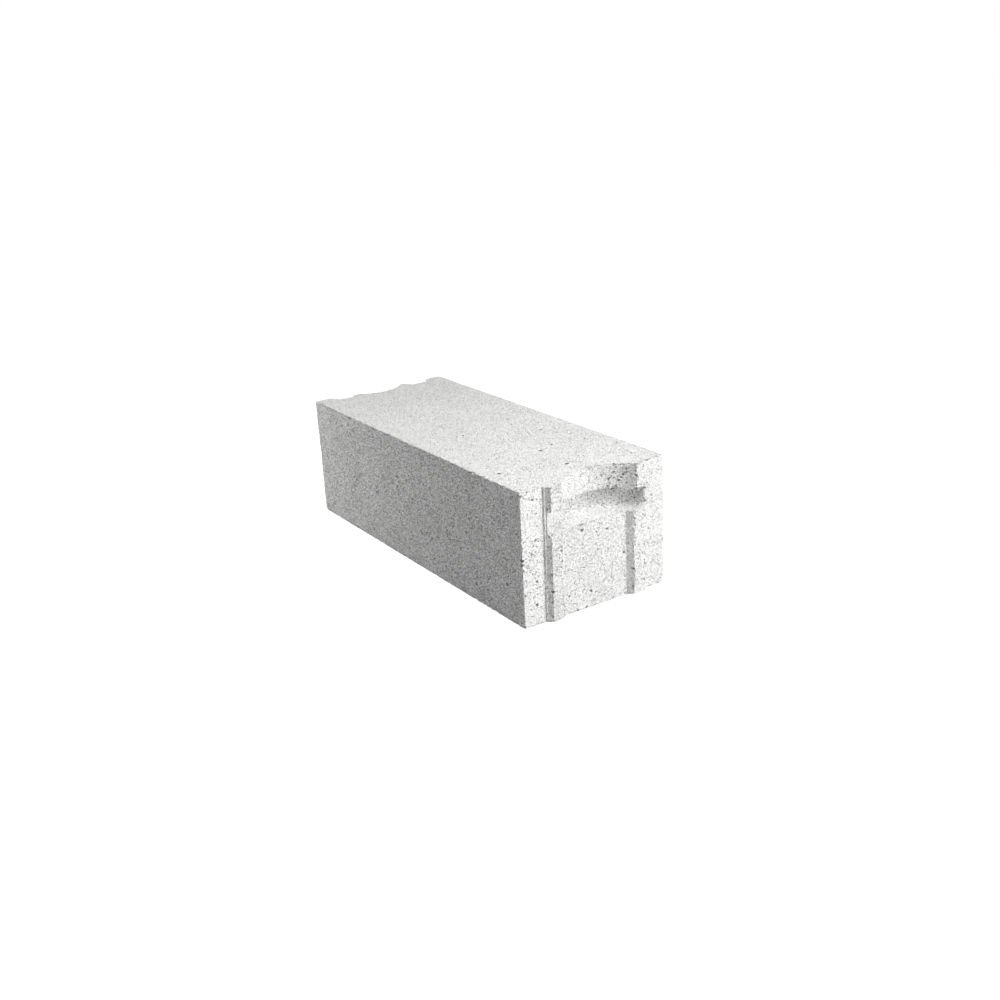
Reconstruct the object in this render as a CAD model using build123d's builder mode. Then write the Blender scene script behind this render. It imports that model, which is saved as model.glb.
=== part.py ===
from build123d import *
import os

# Aerated concrete wall block, sawn and milled from one piece of stock.
# It lies on its bed face: X runs across the width, Y along the length, Z up.
# The tongued end looks towards -Y and the grooved end towards +Y.
# The origin is the middle of the bounding box's bottom.

# The plain block, without its tongues
block_length = 625.0
block_width = 250.0
block_height = 200.0

# Tongues: two full-height ribs with slanted flanks
tongue_spacing = 146.0
tongue_reach = 8.5
tongue_face_width = 20.0
tongue_root_width = 34.5

# Grooves: each takes a tongue of the next block, with room at its root, its face and its end
groove_mouth_room = 6.0
groove_bottom_room = 3.0
groove_end_room = 9.0

# Grip pockets, upper level: a round bite out of each end, open at the top
tongued_bite_radius = 80.0
tongued_bite_depth = 26.0
grooved_bite_radius = 60.0
grooved_bite_depth = 24.0
bite_height = 36.0

# Grip pockets, lower level: a wider, deeper slot that leaves a lip above the fingers
slot_radius = 115.0
slot_depth = 37.0
slot_height = 33.0
slot_corner_radius = 7.0

# How far the cuts stand right of the middle, seen facing either end
bite_shift = 3.5
slot_shift = 6.0

# How far the cutters run past the block's top
cutter_overrun = 5.0

# Places that follow from the sizes above
overall_length = block_length + tongue_reach
tongued_face = -overall_length / 2 + tongue_reach
grooved_face = overall_length / 2
bite_floor = block_height - bite_height
slot_floor = bite_floor - slot_height
tongue_centres = [(-tongue_spacing / 2, tongued_face), (tongue_spacing / 2, tongued_face)]
groove_centres = [(-tongue_spacing / 2, grooved_face), (tongue_spacing / 2, grooved_face)]
groove_mouth_width = tongue_root_width + 2 * groove_mouth_room
groove_bottom_width = tongue_face_width + 2 * groove_bottom_room
groove_depth = tongue_reach + groove_end_room


def rib_section(foot_width, top_width, reach):
    """A trapezoid that stands on the X axis and narrows towards -Y."""
    with BuildSketch() as section:
        with BuildLine():
            Polyline(
                (-foot_width / 2, 0),
                (-top_width / 2, -reach),
                (top_width / 2, -reach),
                (foot_width / 2, 0),
                close=True,
            )
        make_face()
    return section.sketch


def pocket_space(face_y, facing, bite_radius, bite_depth):
    """The space of one grip pocket: two discs, one on the other, outside the end face at face_y.

    The face looks along facing, which is +1 or -1 in Y.
    """
    bite_axis = (-facing * bite_shift, face_y + facing * (bite_radius - bite_depth))
    slot_axis = (-facing * slot_shift, face_y + facing * (slot_radius - slot_depth))
    with BuildPart() as cutter:
        with BuildSketch(Plane.XY.offset(bite_floor)):
            with Locations(bite_axis):
                Circle(bite_radius)
        extrude(amount=bite_height + cutter_overrun)
        with BuildSketch(Plane.XY.offset(slot_floor)):
            with Locations(slot_axis):
                Circle(slot_radius)
        extrude(amount=slot_height)
        rim = cutter.edges().filter_by(GeomType.CIRCLE).sort_by(Axis.Z)[0]
        fillet(rim, slot_corner_radius)
    return cutter.part


tongued_pocket = pocket_space(tongued_face, -1, tongued_bite_radius, tongued_bite_depth)
grooved_pocket = pocket_space(grooved_face, 1, grooved_bite_radius, grooved_bite_depth)

# The block: its outline in plan, raised to full height, then cut for the hands
with BuildPart() as aerated_block:
    with BuildSketch():
        with Locations((0, tongue_reach / 2)):
            Rectangle(block_width, block_length)
        with Locations(*tongue_centres):
            add(rib_section(tongue_root_width, tongue_face_width, tongue_reach))
        with Locations(*groove_centres):
            add(rib_section(groove_mouth_width, groove_bottom_width, groove_depth), mode=Mode.SUBTRACT)
    extrude(amount=block_height)
    add(tongued_pocket, mode=Mode.SUBTRACT)
    add(grooved_pocket, mode=Mode.SUBTRACT)

aerated_block.part.label = "aerated_block"
os.makedirs("parts", exist_ok=True)
export_step(aerated_block.part, "parts/aerated_block.step")
print("volume mm3", round(aerated_block.part.volume))
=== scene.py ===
import math

import bmesh
import bpy
from mathutils import Matrix, Vector


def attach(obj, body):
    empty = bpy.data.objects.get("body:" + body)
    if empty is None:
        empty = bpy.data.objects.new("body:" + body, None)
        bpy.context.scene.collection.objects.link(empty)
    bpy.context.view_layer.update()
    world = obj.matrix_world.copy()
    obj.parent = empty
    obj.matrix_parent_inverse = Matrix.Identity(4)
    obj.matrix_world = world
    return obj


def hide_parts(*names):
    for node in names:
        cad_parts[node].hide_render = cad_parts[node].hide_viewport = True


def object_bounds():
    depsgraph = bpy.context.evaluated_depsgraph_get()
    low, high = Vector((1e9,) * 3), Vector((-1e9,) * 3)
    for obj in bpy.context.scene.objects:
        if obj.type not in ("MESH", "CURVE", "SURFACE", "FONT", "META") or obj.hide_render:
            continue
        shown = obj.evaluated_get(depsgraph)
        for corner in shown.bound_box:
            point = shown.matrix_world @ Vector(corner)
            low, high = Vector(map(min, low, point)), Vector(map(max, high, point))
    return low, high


mm = 0.001

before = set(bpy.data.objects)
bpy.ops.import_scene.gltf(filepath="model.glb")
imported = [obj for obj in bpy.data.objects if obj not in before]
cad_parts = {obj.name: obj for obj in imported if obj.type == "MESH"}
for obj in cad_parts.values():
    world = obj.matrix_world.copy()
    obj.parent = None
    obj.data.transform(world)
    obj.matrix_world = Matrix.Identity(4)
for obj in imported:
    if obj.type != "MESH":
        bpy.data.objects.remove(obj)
cadLow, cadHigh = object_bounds()
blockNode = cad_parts["aerated_block"]
print("stage: frame loaded")


# Camera, at the photograph's viewpoint
cameraView = {
    "eye": (-0.95056, -1.54917, 0.73702),     # metres
    "look": (0.50663, 0.79087, -0.34329),
    "right": (0.83134, -0.55364, -0.04857),
    "lens": 43.048,                           # millimetres, as is the sensor
    "sensor": 36.0,
}


def addCamera(view):
    cameraData = bpy.data.cameras.new("photoCamera")
    cameraData.lens = view["lens"]
    cameraData.sensor_width = view["sensor"]
    camera = bpy.data.objects.new("photoCamera", cameraData)
    back = -Vector(view["look"]).normalized()
    right = Vector(view["right"])
    right = (right - right.dot(back) * back).normalized()
    up = back.cross(right)
    turn = Matrix((right, up, back)).transposed()
    camera.matrix_world = Matrix.Translation(view["eye"]) @ turn.to_4x4()
    bpy.context.scene.collection.objects.link(camera)
    bpy.context.scene.camera = camera


addCamera(cameraView)
print("stage: camera placed")


# Small helpers for node trees
def addNode(tree, kind, inputs=None, **settings):
    node = tree.nodes.new(kind)
    for name, value in settings.items():
        setattr(node, name, value)
    for name, value in (inputs or {}).items():
        if isinstance(value, bpy.types.NodeSocket):
            tree.links.new(value, node.inputs[name])
        else:
            node.inputs[name].default_value = value
    return node


def addMath(tree, operation, first, second=0.5, clamp=False):
    node = addNode(tree, "ShaderNodeMath", {0: first, 1: second}, operation=operation, use_clamp=clamp)
    return node.outputs[0]


def remap(tree, value, fromLow, fromHigh, toLow, toHigh, smooth=False):
    node = addNode(
        tree,
        "ShaderNodeMapRange",
        {"Value": value, "From Min": fromLow, "From Max": fromHigh, "To Min": toLow, "To Max": toHigh},
        interpolation_type="SMOOTHSTEP" if smooth else "LINEAR",
    )
    return node.outputs["Result"]


def noiseOn(tree, place, size, kind):
    detail, roughness = kind
    node = addNode(
        tree,
        "ShaderNodeTexNoise",
        {"Vector": place, "Scale": 1 / size, "Detail": detail, "Roughness": roughness},
    )
    return node.outputs["Fac"]


def seenDirectly(tree):
    # 1 where the camera looks, also past glass or in a mirror, and 0 for light that falls on the block
    path = addNode(tree, "ShaderNodeLightPath").outputs
    seen = addMath(tree, "ADD", path["Is Camera Ray"], path["Is Glossy Ray"])
    return addMath(tree, "ADD", seen, path["Is Transmission Ray"], clamp=True)


# The foamed concrete's finish: pale, matt, full of pores finer than the modelled ones, with painted shade
# and painted light in its colour
concreteFinish = {
    "colour": (0.8, 0.8, 0.79),
    "evenOut": 1.13,                          # brings the tone back up, past the pores' painted shade
    "roughness": 0.95,
    "specular": 0.2,
    "gridTurn": (0.5, 0.8, 0.3),              # radians
    # Two layers of fine pores. Radii are least and most, as shares of the spacing; past a lean of 1
    # small pores outnumber large ones; the shade is painted shade, darkening a pore's inside in the colour.
    "poreLayers": (
        {"spacing": 3.2 * mm, "radii": (0.05, 0.44), "lean": 3.0, "paintedShade": 0.7, "depth": 1.7 * mm},
        {"spacing": 1.5 * mm, "radii": (0.15, 0.62), "lean": 1.2, "paintedShade": 0.6, "depth": 1.1 * mm},
    ),
    "poreFloor": 0.55,                        # the share of a pore's radius over which it is deepest and fully darkened with painted shade
    "grainSize": 1.0 * mm,
    "grainNoise": (2.0, 0.6),                 # detail and roughness, as for the two noises below
    "grainFrom": (0.38, 0.6),                 # the part of the noise that the tone follows
    "grainTo": (0.6, 1.12),
    "grainDepth": 0.5 * mm,
    "unevenSize": 1.6 * mm,
    "unevenNoise": (1.0, 0.5),
    "unevenDepth": 1.4 * mm,
    "cloudSize": 45 * mm,
    "cloudNoise": (3.0, 0.55),
    "cloudFrom": (0.3, 0.7),
    "cloudShade": 0.03,
    "paintedLightStrip": (-84 * mm, -90 * mm),        # X from which the tongued end's left strip gets painted light, paler
    "paintedLightFace": (-302 * mm, -307 * mm),       # Y past which it is the end's own face
    "paintedLightLift": 0.16,
    "sawnFrom": (124.2 * mm, 124.6 * mm),     # X past which it is a sawn side, with a stronger grain that is partly painted shade of its relief
    "sawnGrainAndShade": 2.6,
    "bumpDistance": 1.0,
}


def finePores(tree, place, layer, floorShare):
    cells = addNode(
        tree, "ShaderNodeTexVoronoi", {"Vector": place, "Scale": 1 / layer["spacing"], "Randomness": 1.0},
        feature="F1",
    )
    chance = addNode(tree, "ShaderNodeSeparateColor", {"Color": cells.outputs["Color"]}).outputs[0]
    chance = addMath(tree, "POWER", chance, layer["lean"])
    radius = remap(tree, chance, 0.0, 1.0, *layer["radii"])
    inner = addMath(tree, "MULTIPLY", radius, floorShare)
    return remap(tree, cells.outputs["Distance"], inner, radius, 1.0, 0.0, smooth=True)


def makeConcrete(finish):
    material = bpy.data.materials.new("aerated_concrete")
    material.use_nodes = True
    tree = material.node_tree
    tree.nodes.clear()
    ownPlace = addNode(tree, "ShaderNodeTexCoord").outputs["Object"]
    # turned, so that no face lies along the noises' own grid
    place = addNode(
        tree, "ShaderNodeMapping", {"Vector": ownPlace, "Rotation": finish["gridTurn"]}
    ).outputs["Vector"]

    grain = noiseOn(tree, place, finish["grainSize"], finish["grainNoise"])
    cloud = noiseOn(tree, place, finish["cloudSize"], finish["cloudNoise"])
    uneven = noiseOn(tree, place, finish["unevenSize"], finish["unevenNoise"])
    soft = finish["cloudShade"]
    tone = remap(tree, grain, *finish["grainFrom"], *finish["grainTo"])
    tone = addMath(tree, "MULTIPLY", tone, remap(tree, cloud, *finish["cloudFrom"], 1 - soft, 1 + soft))
    height = addMath(tree, "MULTIPLY", grain, finish["grainDepth"])
    height = addMath(tree, "ADD", height, addMath(tree, "MULTIPLY", uneven, finish["unevenDepth"]))
    for layer in finish["poreLayers"]:
        pore = finePores(tree, place, layer, finish["poreFloor"])
        # painted shade: each pore's inside darkened in the colour, over its real dent in the height
        tone = addMath(tree, "MULTIPLY", tone, remap(tree, pore, 0.0, 1.0, 1.0, 1 - layer["paintedShade"]))
        height = addMath(tree, "SUBTRACT", height, addMath(tree, "MULTIPLY", pore, layer["depth"]))

    axes = addNode(tree, "ShaderNodeSeparateXYZ", {"Vector": ownPlace}).outputs
    sideways = addMath(tree, "ABSOLUTE", axes["X"])
    sideGrainAndShade = remap(tree, sideways, *finish["sawnFrom"], 1.0, finish["sawnGrainAndShade"])
    # the sides' speckle deepened in the colour: partly sawn roughness, partly painted shade of the relief
    # in raking light
    tone = addMath(tree, "POWER", tone, sideGrainAndShade)
    # painted light: the tongued end's left strip is lifted paler in the colour, as if lit more
    strip = remap(tree, axes["X"], *finish["paintedLightStrip"], 0.0, 1.0, smooth=True)
    face = remap(tree, axes["Y"], *finish["paintedLightFace"], 0.0, 1.0, smooth=True)
    strip = addMath(tree, "MULTIPLY", strip, face)
    levelAndPaintedLight = remap(tree, strip, 0.0, 1.0, finish["evenOut"], finish["evenOut"] + finish["paintedLightLift"])
    tone = addMath(tree, "MULTIPLY", tone, levelAndPaintedLight)

    colour = addNode(
        tree, "ShaderNodeMix", {"Factor": 1.0}, data_type="RGBA", blend_type="MULTIPLY", clamp_result=True
    )
    for socket in colour.inputs:
        if socket.name == "A" and socket.type == "RGBA":
            socket.default_value = (*finish["colour"], 1.0)
        if socket.name == "B" and socket.type == "RGBA":
            tree.links.new(tone, socket)
    mixed = [socket for socket in colour.outputs if socket.type == "RGBA"][0]

    bump = addNode(
        tree, "ShaderNodeBump", {"Height": height, "Strength": 1.0, "Distance": finish["bumpDistance"]}
    )
    shader = addNode(
        tree,
        "ShaderNodeBsdfPrincipled",
        {
            "Base Color": mixed,
            "Normal": bump.outputs["Normal"],
            "Roughness": finish["roughness"],
            "Specular IOR Level": finish["specular"],
        },
    )
    addNode(tree, "ShaderNodeOutputMaterial", {"Surface": shader.outputs[0]})
    return material


concrete = makeConcrete(concreteFinish)
print("stage: concrete finish made")


# The block's mesh: the CAD solid, crumbled along its arrises and opened by pores
blockEdges = {
    "merge": 0.001 * mm,
    "arrisAngle": 25.0,       # degrees between two faces, past which their edge is an arris
    "curveAngle": 14.0,       # degrees, under which two faces belong to one milled curve
    "flatAngle": 0.3,         # degrees, under which they are one flat face
    "levelNormal": 0.999,     # a normal this upright belongs to a level face
}


def addObject(name, mesh):
    thing = bpy.data.objects.new(name, mesh)
    bpy.context.scene.collection.objects.link(thing)
    return thing


def objectFrom(form, name):
    mesh = bpy.data.meshes.new(name)
    form.to_mesh(mesh)
    form.free()
    return addObject(name, mesh)


def mergedCopy(cadObject, distance):
    form = bmesh.new()
    form.from_mesh(cadObject.data)
    bmesh.ops.remove_doubles(form, verts=form.verts, dist=distance)
    return form


def blankBlock(cadObject, edges):
    # only the milled curves are shaded smooth, and the cut keeps that choice
    form = mergedCopy(cadObject, edges["merge"])
    least, most = math.radians(edges["flatAngle"]), math.radians(edges["curveAngle"])
    for face in form.faces:
        curved = any(least < edge.calc_face_angle(0.0) < most for edge in face.edges)
        face.smooth = curved and abs(face.normal.z) < edges["levelNormal"]
    return objectFrom(form, "block_blank")


def arrisLines(cadObject, edges):
    # the outward edges alone, as wires that the pore tree walks along
    form = mergedCopy(cadObject, edges["merge"])
    limit = math.radians(edges["arrisAngle"])
    plain = [edge for edge in form.edges if not edge.is_convex or edge.calc_face_angle(0.0) < limit]
    bmesh.ops.delete(form, geom=form.faces[:], context="FACES_ONLY")
    bmesh.ops.delete(form, geom=plain, context="EDGES")
    return objectFrom(form, "arris_lines")


# Pores and crumbled arrises, cut by a Geometry Nodes tree
poreSettings = {
    "Pores Per Square Metre": 4200.0,
    "Smallest Pore": 0.7 * mm,                # radii, as are the next ones but for the spacing
    "Largest Pore": 2.1 * mm,
    "Crumb Spacing": 2.6 * mm,
    "Smallest Crumb": 0.9 * mm,
    "Largest Crumb": 3.0 * mm,
    "Seed": 6,
}
poreHabits = {
    "poreLean": 2.4,                          # past 1, small ones outnumber large ones
    "poreSunk": (-0.4, 0.15),                 # how far its middle stands off the face, in radii
    "poreStretch": (0.75, 1.25),
    "crumbLean": 1.9,
    "crumbShake": 0.9,                        # how far a crumb strays from the arris, in radii
    "crumbStretch": (0.7, 1.3),
    "anyTurn": 6.28,                          # radians
    "placedTurn": 0.4,                        # radians either way, for the placed ones
}
blobLook = {
    "kinds": 6,
    "kindStep": 3.7,                          # how far apart the kinds lie in their noise
    "noiseScale": 0.9,
    "unevenness": 0.9,
}
cutterInputs = ("Arris Lines", "Placed Pores", "Placed Chips", "Cutters")


def scaledVector(tree, vector, scale):
    node = addNode(tree, "ShaderNodeVectorMath", {0: vector, "Scale": scale}, operation="SCALE")
    return node.outputs[0]


# The node has its low and high sockets once for each type: vector, number, whole number
def randomVector(tree, low, high, seed):
    given = {0: (low,) * 3, 1: (high,) * 3, "Seed": seed}
    return addNode(tree, "FunctionNodeRandomValue", given, data_type="FLOAT_VECTOR").outputs[0]


def randomNumber(tree, low, high, seed):
    given = {2: low, 3: high, "Seed": seed}
    return addNode(tree, "FunctionNodeRandomValue", given, data_type="FLOAT").outputs[1]


def randomKind(tree, seed):
    given = {4: 0, 5: blobLook["kinds"] - 1, "Seed": seed}
    return addNode(tree, "FunctionNodeRandomValue", given, data_type="INT").outputs[2]


def irregularBlobs(tree, subdivisions):
    # a few uneven bubbles, one of which is picked for each pore
    join = addNode(tree, "GeometryNodeJoinGeometry")
    for kind in range(blobLook["kinds"]):
        ball = addNode(tree, "GeometryNodeMeshIcoSphere", {"Radius": 1.0, "Subdivisions": subdivisions})
        wobble = addNode(
            tree,
            "ShaderNodeTexNoise",
            {"W": kind * blobLook["kindStep"], "Scale": blobLook["noiseScale"], "Detail": 1.0},
            noise_dimensions="4D",
        ).outputs["Color"]
        centred = addNode(
            tree, "ShaderNodeVectorMath", {0: wobble, 1: (0.5, 0.5, 0.5)}, operation="SUBTRACT"
        ).outputs[0]
        offset = scaledVector(tree, centred, blobLook["unevenness"])
        bent = addNode(
            tree, "GeometryNodeSetPosition", {"Geometry": ball.outputs["Mesh"], "Offset": offset}
        ).outputs[0]
        flat = addNode(tree, "GeometryNodeSetShadeSmooth", {"Geometry": bent, "Shade Smooth": False})
        single = addNode(tree, "GeometryNodeGeometryToInstance", {"Geometry": flat.outputs[0]})
        tree.links.new(single.outputs[0], join.inputs[0])
    return join.outputs[0]


def leaningSize(tree, smallest, largest, lean, seed):
    # most are near the smallest
    chance = addMath(tree, "POWER", randomNumber(tree, 0.0, 1.0, seed), lean)
    node = addNode(tree, "ShaderNodeMapRange", {"Value": chance, "To Min": smallest, "To Max": largest})
    return node.outputs["Result"]


def blobsOnPoints(tree, points, blobs, scale, turn, seed):
    node = addNode(
        tree,
        "GeometryNodeInstanceOnPoints",
        {
            "Points": points,
            "Instance": blobs,
            "Pick Instance": True,
            "Instance Index": randomKind(tree, seed),
            "Rotation": turn,
            "Scale": scale,
        },
    )
    return node.outputs[0]


def facePores(tree, given, blobs):
    seed = given["Seed"]
    faces = addNode(
        tree,
        "GeometryNodeDistributePointsOnFaces",
        {"Mesh": given["Geometry"], "Density": given["Pores Per Square Metre"], "Seed": seed},
    )
    size = leaningSize(tree, given["Smallest Pore"], given["Largest Pore"], poreHabits["poreLean"], seed)
    sunk = addMath(tree, "MULTIPLY", size, randomNumber(tree, *poreHabits["poreSunk"], seed))
    push = scaledVector(tree, faces.outputs["Normal"], sunk)
    seated = addNode(tree, "GeometryNodeSetPosition", {"Geometry": faces.outputs["Points"], "Offset": push})
    scale = scaledVector(tree, randomVector(tree, *poreHabits["poreStretch"], seed), size)
    turn = randomVector(tree, 0.0, poreHabits["anyTurn"], seed)
    return blobsOnPoints(tree, seated.outputs[0], blobs, scale, turn, seed)


def arrisCrumbs(tree, given, blobs):
    seed = given["Seed"]
    lines = addNode(tree, "GeometryNodeObjectInfo", {"Object": given["Arris Lines"]}).outputs["Geometry"]
    curves = addNode(tree, "GeometryNodeMeshToCurve", {"Mesh": lines}).outputs[0]
    spaced = addNode(
        tree,
        "GeometryNodeResampleCurve",
        {"Curve": curves, "Length": given["Crumb Spacing"]},
        mode="LENGTH",
    ).outputs[0]
    size = leaningSize(tree, given["Smallest Crumb"], given["Largest Crumb"], poreHabits["crumbLean"], seed)
    reach = poreHabits["crumbShake"]
    shake = scaledVector(tree, randomVector(tree, -reach, reach, seed), size)
    shaken = addNode(tree, "GeometryNodeSetPosition", {"Geometry": spaced, "Offset": shake})
    scale = scaledVector(tree, randomVector(tree, *poreHabits["crumbStretch"], seed), size)
    turn = randomVector(tree, 0.0, poreHabits["anyTurn"], seed)
    return blobsOnPoints(tree, shaken.outputs[0], blobs, scale, turn, seed)


def placedBlobs(tree, given, name, blobs):
    points = addNode(tree, "GeometryNodeObjectInfo", {"Object": given[name]}).outputs["Geometry"]
    size = addNode(tree, "GeometryNodeInputNamedAttribute", {"Name": "size"}, data_type="FLOAT_VECTOR")
    turn = randomVector(tree, -poreHabits["placedTurn"], poreHabits["placedTurn"], given["Seed"])
    return blobsOnPoints(tree, points, blobs, size.outputs[0], turn, given["Seed"])


def makePoreTree(settings):
    tree = bpy.data.node_groups.new("pore_cutting", "GeometryNodeTree")
    tree.interface.new_socket("Geometry", in_out="OUTPUT", socket_type="NodeSocketGeometry")
    tree.interface.new_socket("Geometry", in_out="INPUT", socket_type="NodeSocketGeometry")
    for name, value in settings.items():
        kind = "NodeSocketInt" if isinstance(value, int) else "NodeSocketFloat"
        tree.interface.new_socket(name, in_out="INPUT", socket_type=kind)
    for name in cutterInputs:
        tree.interface.new_socket(name, in_out="INPUT", socket_type="NodeSocketObject")
    tree.interface.new_socket("Material", in_out="INPUT", socket_type="NodeSocketMaterial")
    given = addNode(tree, "NodeGroupInput").outputs
    smallBlobs = irregularBlobs(tree, 1)      # the larger a hollow, the finer its bubble
    roundBlobs = irregularBlobs(tree, 2)
    brokenBlobs = irregularBlobs(tree, 3)
    cutters = addNode(tree, "GeometryNodeObjectInfo", {"Object": given["Cutters"]}).outputs["Geometry"]
    island = addNode(tree, "GeometryNodeInputMeshIsland").outputs["Island Index"]
    apart = addNode(
        tree, "GeometryNodeSplitToInstances", {"Geometry": cutters, "Group ID": island}, domain="FACE"
    )
    tools = addNode(tree, "GeometryNodeJoinGeometry")
    for part in (
        facePores(tree, given, smallBlobs),
        arrisCrumbs(tree, given, smallBlobs),
        placedBlobs(tree, given, "Placed Pores", roundBlobs),
        placedBlobs(tree, given, "Placed Chips", brokenBlobs),
        apart.outputs[0],
    ):
        tree.links.new(part, tools.inputs[0])
    cut = addNode(tree, "GeometryNodeMeshBoolean", operation="DIFFERENCE", solver="MANIFOLD")
    tree.links.new(given["Geometry"], cut.inputs[0])
    tree.links.new(tools.outputs[0], cut.inputs[1])
    real = addNode(tree, "GeometryNodeRealizeInstances", {"Geometry": cut.outputs[0]})
    coated = addNode(
        tree, "GeometryNodeSetMaterial", {"Geometry": real.outputs[0], "Material": given["Material"]}
    )
    addNode(tree, "NodeGroupOutput", {"Geometry": coated.outputs[0]})
    return tree


# Pores and chips that the photograph shows, in millimetres: place, then half sizes
placedPores = [
    ((4, -176, 197.2), (4.2, 4.2, 4.4)),      # the top's larger pores, sunk so that the mouth is narrower
    ((-3, -250, 197.2), (4.0, 4.0, 4.2)),
    ((4, -247, 197.6), (3.0, 3.0, 3.4)),
    ((-100, -222, 197.4), (3.4, 3.4, 3.8)),
    ((33, -162, 197.5), (3.2, 3.2, 3.6)),
    ((-41, -34, 197.4), (3.6, 3.6, 3.8)),
    ((88, -173, 197.6), (3.0, 3.0, 3.4)),
    ((96, -273, 197.7), (2.8, 2.8, 3.2)),
    ((67, -89, 197.6), (3.0, 3.0, 3.4)),
    ((-102, -307.5, 66), (2.6, 4.5, 2.4)),    # the tongued end's left strip
    ((-103, -307.5, 31), (2.6, 4.5, 2.4)),
    ((-105, -307.5, 186), (2.6, 4.0, 2.0)),
    ((-102, -307.5, 127), (2.4, 4.0, 2.0)),
    ((-109, -307.5, 108), (2.0, 4.0, 1.8)),
    ((-23, -307.5, 121), (3.0, 5.0, 2.8)),    # its panel between the tongues
    ((-47, -307.5, 133), (3.0, 4.0, 1.8)),
    ((-9, -307.5, 25), (2.2, 4.0, 2.2)),
    ((-48, -307.5, 28), (2.2, 4.0, 1.8)),
    ((22, -307.5, 112), (2.2, 4.0, 2.0)),
    ((51, -307.5, 68), (2.2, 4.0, 2.0)),
    ((-124.5, -268, 55), (4.5, 3.2, 2.6)),    # the left side
    ((-124.5, -186, 27), (4.5, 3.2, 2.6)),
]
placedChips = [
    ((-50, 319, 201), (10, 10, 16)),          # the ridge between the left groove and the far bite
    ((-42, 317, 199), (8, 8, 12)),
    ((-47, 321, 188), (9, 9, 16)),
    ((98, 319, 200), (7, 6, 12)),             # the right groove's outer lip
    ((125, 318, 200), (4, 4, 4)),
    ((-125, -309, 201), (2, 2, 2)),           # the near corners
    ((126, -309, 0), (4, 4, 8)),
    ((106, -309, -1), (9, 4, 2.8)),
    ((-83, -317, -1), (6, 5, 3)),
    ((-88, -311, 66), (2.5, 2.5, 8)),         # the ledge along the left tongue
    ((-82, -317, 165), (2, 1.6, 1.4)),        # where the slot leaves the tongues
    ((-79, -319, 133), (5, 5, 10)),
    ((85, -317, 160), (3, 3, 2.5)),
    ((84, -316, 141), (2.5, 3, 3)),
    ((62, -307, 199), (3, 3, 3)),             # the near bite's rim
    ((55, -301, 199), (2.8, 2.4, 2.8)),
    ((45, -294, 199), (2.6, 2.4, 2.4)),
    ((33, -288, 200), (2.4, 2.2, 2.2)),
    ((19, -284, 200), (2.2, 2.2, 2.0)),
    ((38, -290, 167), (2.4, 2.2, 2.0)),       # over its lip
    ((48, -296, 166), (2.6, 2.2, 2.2)),
    ((30, -286, 184), (1.8, 2.4, 1.8)),       # its rough right wall
    ((40, -290, 178), (2.0, 2.4, 1.8)),
    ((46, -294, 188), (1.8, 2.4, 2.0)),
    ((52, -298, 175), (2.0, 2.4, 2.0)),
    ((57, -302, 184), (1.8, 2.4, 1.8)),
    ((60, -306, 172), (1.8, 2.4, 2.0)),
    ((60, -305, 192), (1.8, 2.2, 1.8)),
    ((82, -300, 156), (2.2, 2.2, 2.0)),       # the slot's right wall
    ((74, -294, 148), (2.2, 2.2, 2.0)),
]


def placedPoints(name, hollows):
    mesh = bpy.data.meshes.new(name)
    mesh.from_pydata([tuple(mm * value for value in place) for place, size in hollows], [], [])
    sizes = mesh.attributes.new("size", "FLOAT_VECTOR", "POINT")
    for item, (place, size) in zip(sizes.data, hollows):
        item.vector = [mm * value for value in size]
    return addObject(name, mesh)


# Each cutter lies between two outlines of places in millimetres
profileCutters = {
    # the small ledge along the foot of the left tongue, a little out of plumb
    "foot_ledge": (
        [(-93.0, -308.2, -4), (-88.9, -308.2, -4), (-88.6, -310.4, -4), (-86.7, -310.4, -4),
         (-81.5, -316.75, -4), (-81.5, -321, -4), (-93.0, -321, -4)],
        [(-91.0, -308.2, 204), (-87.2, -308.2, 204), (-86.9, -310.4, 204), (-85.0, -310.4, 204),
         (-79.9, -316.75, 204), (-79.9, -321, 204), (-91.0, -321, 204)],
    ),
    # where the grip slot runs out through the left tongue
    "slot_end": (
        [(-88.0, -312.1, 131.5), (-77.0, -311.6, 130.5), (-76.0, -322, 130.5), (-88.0, -322, 131.5)],
        [(-88.0, -312.1, 163.5), (-77.0, -311.6, 163.5), (-76.0, -322, 163.5), (-88.0, -322, 163.5)],
    ),
    # the worn feet of the two tongues
    "left_foot": (
        [(-80, -309, -1), (-52, -309, -1), (-52, -309, 3.4), (-63, -309, 2.6)],
        [(-82, -321, -1), (-50, -321, -1), (-50, -321, 5.0), (-63, -321, 4.0)],
    ),
    "right_foot": (
        [(50, -309, -1), (94, -309, -1), (94, -309, 1.2), (50, -309, 1.0)],
        [(50, -321, -1), (94, -321, -1), (94, -321, 2.6), (50, -321, 2.4)],
    ),
}


def profilePrisms(outlines):
    form = bmesh.new()
    for first, second in outlines.values():
        near, far = (
            [form.verts.new([mm * value for value in place]) for place in ring] for ring in (first, second)
        )
        form.faces.new(near)
        form.faces.new(far)
        for index in range(len(near)):
            after = (index + 1) % len(near)
            form.faces.new((near[index], near[after], far[after], far[index]))
    bmesh.ops.triangulate(form, faces=form.faces)
    bmesh.ops.recalc_face_normals(form, faces=form.faces)
    return objectFrom(form, "profile_prisms")


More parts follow.
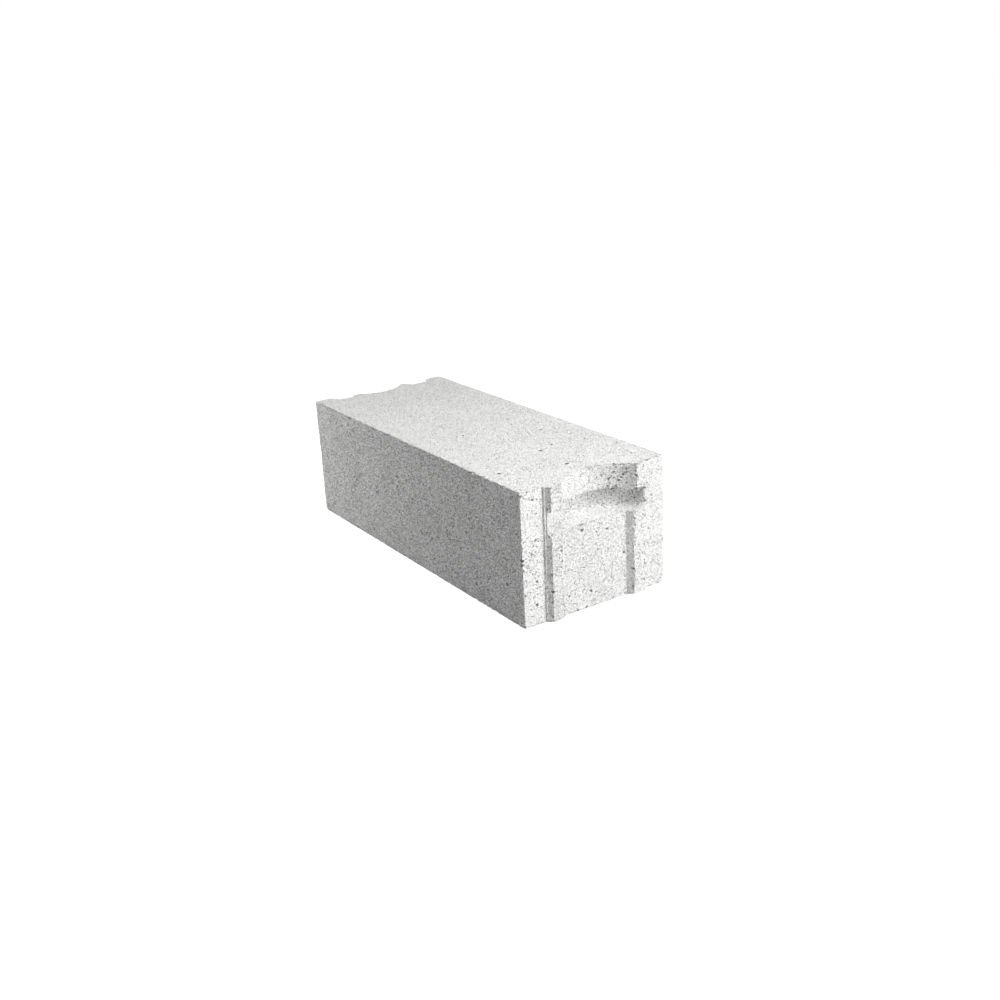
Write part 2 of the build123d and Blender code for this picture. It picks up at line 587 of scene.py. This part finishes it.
def cutPores(blank, settings, edges):
    tree = makePoreTree(settings)
    extras = {
        "Arris Lines": arrisLines(blockNode, edges),
        "Placed Pores": placedPoints("placed_pores", placedPores),
        "Placed Chips": placedPoints("placed_chips", placedChips),
        "Cutters": profilePrisms(profileCutters),
        "Material": concrete,
    }
    modifier = blank.modifiers.new("pores", "NODES")
    modifier.node_group = tree
    for item in tree.interface.items_tree:
        if item.in_out == "INPUT" and item.name in settings:
            modifier[item.identifier] = settings[item.name]
        if item.in_out == "INPUT" and item.name in extras:
            modifier[item.identifier] = extras[item.name]
    graph = bpy.context.evaluated_depsgraph_get()
    mesh = bpy.data.meshes.new_from_object(blank.evaluated_get(graph), depsgraph=graph)
    blank.modifiers.clear()
    for name in cutterInputs:
        bpy.data.objects.remove(extras[name])
    return mesh


def looseVerts(form):
    # closed bubbles and crumbs cut free aren't part of the block, which is the largest island
    islands = []
    seen = set()
    for first in form.verts:
        if first in seen:
            continue
        seen.add(first)
        island = [first]
        for vert in island:
            for edge in vert.link_edges:
                other = edge.other_vert(vert)
                if other not in seen:
                    seen.add(other)
                    island.append(other)
        islands.append(island)
    islands.sort(key=len)
    return [vert for island in islands[:-1] for vert in island]


def finishBlock(mesh):
    form = bmesh.new()
    form.from_mesh(mesh)
    bmesh.ops.triangulate(form, faces=form.faces)
    loose = looseVerts(form)
    bmesh.ops.delete(form, geom=loose, context="VERTS")
    openEdges = sum(1 for edge in form.edges if not edge.is_manifold)
    form.to_mesh(mesh)
    form.free()
    mesh.name = "concrete_block"
    mesh.materials.clear()
    mesh.materials.append(concrete)
    print("stage: dropped", len(loose), "points of loose crumbs and bubbles")
    print("stage: block has", len(mesh.polygons), "triangles,", openEdges, "open edges")
    return addObject("concrete_block", mesh)


blank = blankBlock(blockNode, blockEdges)
blockMesh = cutPores(blank, poreSettings, blockEdges)
bpy.data.objects.remove(blank)
block = finishBlock(blockMesh)
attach(block, "root")
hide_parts("aerated_block")
print("stage: block finished")


# Floor, white where no shadow falls
stageLook = {
    "size": 40.0,                             # metres
    "drop": 0.4 * mm,                         # how far it lies under the block
    "colour": (0.55, 0.55, 0.55, 1.0),
    "shadowRadius": (0.5, 1.6),               # metres, over which the glow rises to white
    "glow": (0.9, 1.0),
}


def whiteFloor(look):
    half = look["size"] / 2
    corners = [(-half, -half, 0), (half, -half, 0), (half, half, 0), (-half, half, 0)]
    mesh = bpy.data.meshes.new("floor")
    mesh.from_pydata(corners, [], [(0, 1, 2, 3)])
    mesh.transform(Matrix.Translation((0, 0, cadLow.z - look["drop"])))
    floor = addObject("floor", mesh)
    material = bpy.data.materials.new("floor_white")
    material.use_nodes = True
    tree = material.node_tree
    tree.nodes.clear()
    place = addNode(tree, "ShaderNodeTexCoord").outputs["Object"]
    away = addNode(tree, "ShaderNodeVectorMath", {0: place}, operation="LENGTH")
    glow = remap(tree, away.outputs["Value"], *look["shadowRadius"], *look["glow"], smooth=True)
    shine = addNode(tree, "ShaderNodeEmission", {"Strength": glow})
    dull = addNode(tree, "ShaderNodeBsdfDiffuse", {"Color": look["colour"]})
    both = addNode(tree, "ShaderNodeAddShader", {0: shine.outputs[0], 1: dull.outputs[0]})
    mix = addNode(
        tree, "ShaderNodeMixShader", {"Fac": seenDirectly(tree), 1: dull.outputs[0], 2: both.outputs[0]}
    )
    addNode(tree, "ShaderNodeOutputMaterial", {"Surface": mix.outputs[0]})
    mesh.materials.append(material)


whiteFloor(stageLook)


# Soft studio light, in metres and watts
lampSettings = {
    "lowKey": {"place": (1.3, -1.65, 0.64), "size": 1.1, "power": 41.0},
    "overFront": {"place": (-0.2, -0.9, 1.6), "size": 0.8, "power": 18.3},
    "overhead": {"place": (0.0, -0.1, 1.7), "size": 1.6, "power": 13.4},
    "behindLeft": {"place": (-0.7, 0.73, 0.25), "size": 0.6, "power": 4.5},
}
lightLook = {
    "aim": (0.0, -0.05, 0.1),
    "surround": 0.01,         # the surround's own light on the block; to the camera it is white
}


def addLamp(name, settings, aim):
    lampData = bpy.data.lights.new(name, "AREA")
    lampData.shape = "DISK"
    lampData.size = settings["size"]
    lampData.energy = settings["power"]
    lamp = bpy.data.objects.new(name, lampData)
    lamp.location = settings["place"]
    lamp.rotation_mode = "QUATERNION"
    lamp.rotation_quaternion = (lamp.location - Vector(aim)).to_track_quat("Z", "Y")
    bpy.context.scene.collection.objects.link(lamp)


def whiteSurround(strength):
    world = bpy.data.worlds.new("surround")
    bpy.context.scene.world = world
    world.use_nodes = True
    tree = world.node_tree
    tree.nodes.clear()
    level = remap(tree, seenDirectly(tree), 0.0, 1.0, strength, 1.0)
    sky = addNode(tree, "ShaderNodeBackground", {"Color": (1.0, 1.0, 1.0, 1.0), "Strength": level})
    addNode(tree, "ShaderNodeOutputWorld", {"Surface": sky.outputs[0]})


for lampName, settings in lampSettings.items():
    addLamp(lampName, settings, lightLook["aim"])
whiteSurround(lightLook["surround"])
bpy.context.scene.view_settings.view_transform = "Standard"
print("stage: light and floor set")
